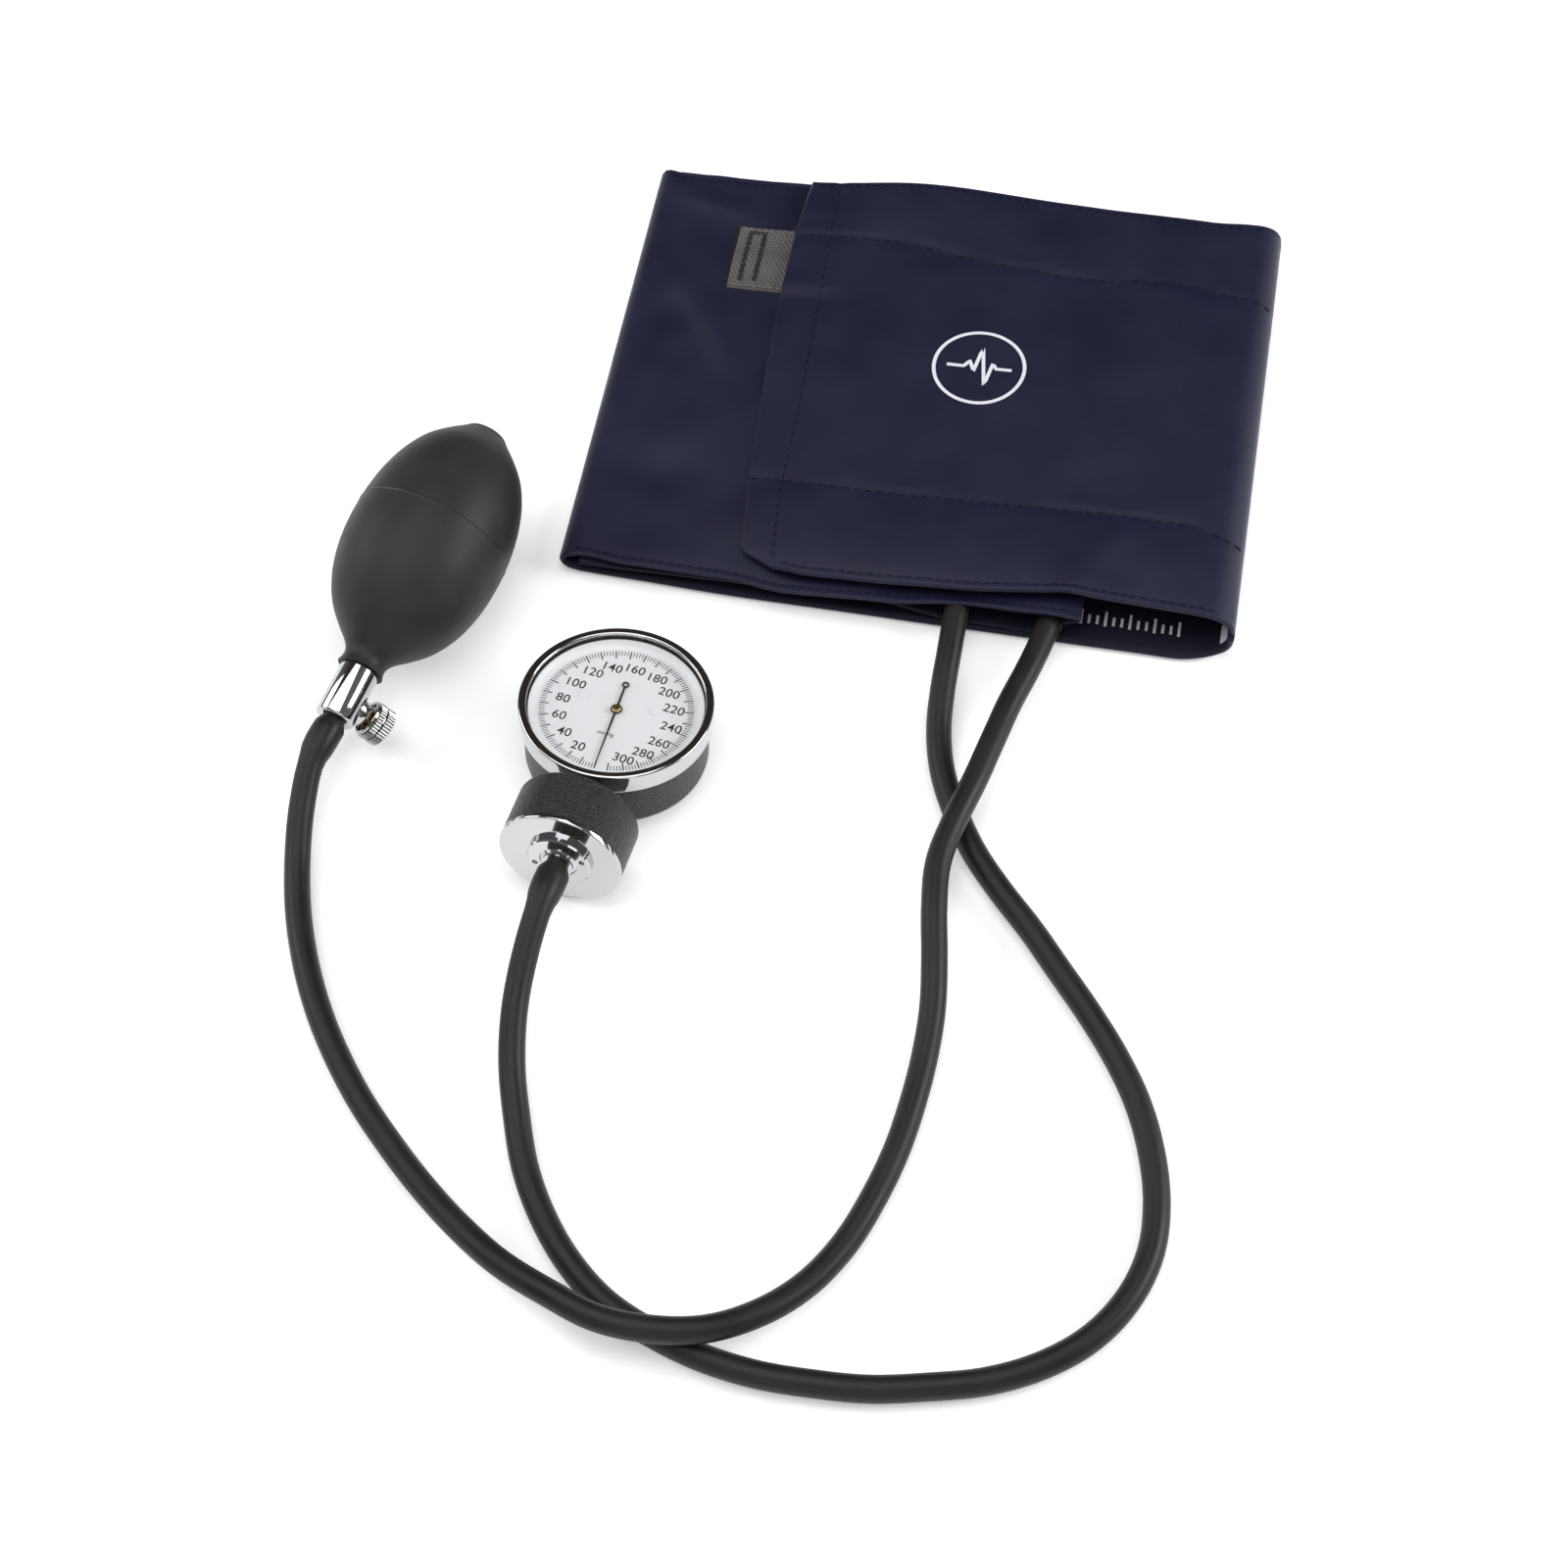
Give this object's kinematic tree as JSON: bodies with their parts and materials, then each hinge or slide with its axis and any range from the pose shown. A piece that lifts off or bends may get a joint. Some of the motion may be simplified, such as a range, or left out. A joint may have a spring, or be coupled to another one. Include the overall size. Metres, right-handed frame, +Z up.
{
  "type": "upper arm blood pressure monitor",
  "caption": "Folded arm cuff with webbing tab, two rubber hoses, a round aneroid dial gauge and a squeeze bulb with a screw release valve.",
  "frame": {"origin": "centre of the box round cuff, gauge and bulb, at the height of the surface that they lie on", "axes": "+X along the cuff's folded length, +Y from the cuff's front hem to its back hem, +Z up"},
  "size_m": [0.2489, 0.3855, 0.046],
  "materials": {
    "navy_nylon": "fine woven nylon, slightly sheeny",
    "grey_webbing": "coarse woven webbing",
    "hook_tape": "hook tape",
    "loop_tape": "loop tape",
    "black_rubber": "matte black rubber",
    "bladder_rubber": "smooth latex sheet",
    "hammertone": "black hammertone paint",
    "chrome": "polished chrome plate",
    "clear_glass": "clear flat lens",
    "dial_paint": "silver white paint",
    "pointer_paint": "matt black paint",
    "brass": "turned brass",
    "steel": "bright steel",
    "spring_steel": "blued strip",
    "seal_rubber": "sealing rubber"
  },
  "bodies": {
    "set": {"cuff_bottom_panel": "navy_nylon", "cuff_left_fold": "navy_nylon", "cuff_inner_panel": "navy_nylon", "loop_patch": "loop_tape", "webbing_tab": "grey_webbing", "bladder": "bladder_rubber", "gauge_port": "black_rubber", "bulb_port": "black_rubber", "gauge_hose": "black_rubber", "bulb_hose": "black_rubber", "gauge_case": "hammertone", "bezel": "chrome", "lens": "clear_glass", "lens_gasket": "seal_rubber", "dial_plate": "dial_paint", "dial_screws": "steel", "dial_feet": "brass", "hairspring": "spring_steel", "lower_plate": "brass", "upper_plate": "brass", "movement_pillars": "brass", "movement_screws": "steel", "neck_tube": "hammertone", "neck_nuts": "steel", "capsule_housing": "hammertone", "housing_seal": "seal_rubber", "end_plate": "chrome", "spanner_ring": "chrome", "gauge_barb": "chrome", "capsule": "brass", "bulb_shell": "black_rubber", "inlet_body": "chrome", "inlet_cage": "steel", "release_valve_body": "chrome", "outlet_seat": "brass", "gland_nut": "brass"},
    "cuff_side": {"cuff_side_panel": "navy_nylon"},
    "cuff_flap": {"cuff_flap": "navy_nylon", "hook_patch": "hook_tape"},
    "pointer": {"pointer": "pointer_paint", "pointer_hub": "brass", "pinion_arbor": "brass"},
    "sector": {"sector_gear": "brass"},
    "push_rod": {"push_rod": "steel"},
    "needle": {"needle_spindle": "brass"},
    "thumb_screw": {"thumb_screw": "chrome"},
    "inlet_ball": {"inlet_ball": "steel"},
    "outlet_ball": {"outlet_ball": "steel"}
  },
  "joints": [
    {"name": "cuff_side_turn", "type": "hinge", "parent": "set", "child": "cuff_side", "pos_m": [0.122, 0.06, 0.003], "axis": [0, 1, 0], "range_deg": [0, 90]},
    {"name": "cuff_flap_turn", "type": "hinge", "parent": "cuff_side", "child": "cuff_flap", "pos_m": [0.122, 0.06, 0.0156], "axis": [0, 1, 0], "range_deg": [0, 90]},
    {"name": "pointer_turn", "type": "hinge", "parent": "set", "child": "pointer", "pos_m": [-0.03637, -0.07356, 0.02095], "axis": [-0.0122, -0.1037, -0.9945], "range_deg": [0, 350], "stiffness_Nm_per_rad": 0.00002, "deforming": ["hairspring"]},
    {"name": "sector_turn", "type": "hinge", "parent": "set", "child": "sector", "pos_m": [-0.04069, -0.08457, 0.0139], "axis": [0.0122, 0.1037, 0.9945], "range_deg": [0, 35]},
    {"name": "push_rod_slide", "type": "slide", "parent": "set", "child": "push_rod", "axis": [0.116, 0.9877, -0.1044], "range_m": [0, 0.0018], "deforming": ["capsule"]},
    {"name": "needle_slide", "type": "slide", "parent": "set", "child": "needle", "axis": [0.7334, -0.0772, -0.6754], "range_m": [0, 0.00105]},
    {"name": "thumb_screw_turn", "type": "hinge", "parent": "needle", "child": "thumb_screw", "pos_m": [-0.10463, -0.08105, 0.01049], "axis": [0.7334, -0.0772, -0.6754], "range_deg": [0, 540]},
    {"name": "inlet_ball_slide", "type": "slide", "parent": "set", "child": "inlet_ball", "axis": [0.2295, 0.9633, 0.1392], "range_m": [0, 0.001]},
    {"name": "outlet_ball_slide", "type": "slide", "parent": "set", "child": "outlet_ball", "axis": [0.2295, 0.9633, 0.1392], "range_m": [0, 0.001]}
  ],
  "couplings": [
    {"joint": "cuff_side_turn", "follows": "cuff_flap_turn", "ratio": 1},
    {"joint": "sector_turn", "follows": "push_rod_slide", "rad_per_m": 338.62},
    {"joint": "pointer_turn", "follows": "push_rod_slide", "rad_per_m": 3386.2},
    {"joint": "thumb_screw_turn", "follows": "needle_slide", "rad_per_m": 8976}
  ]
}
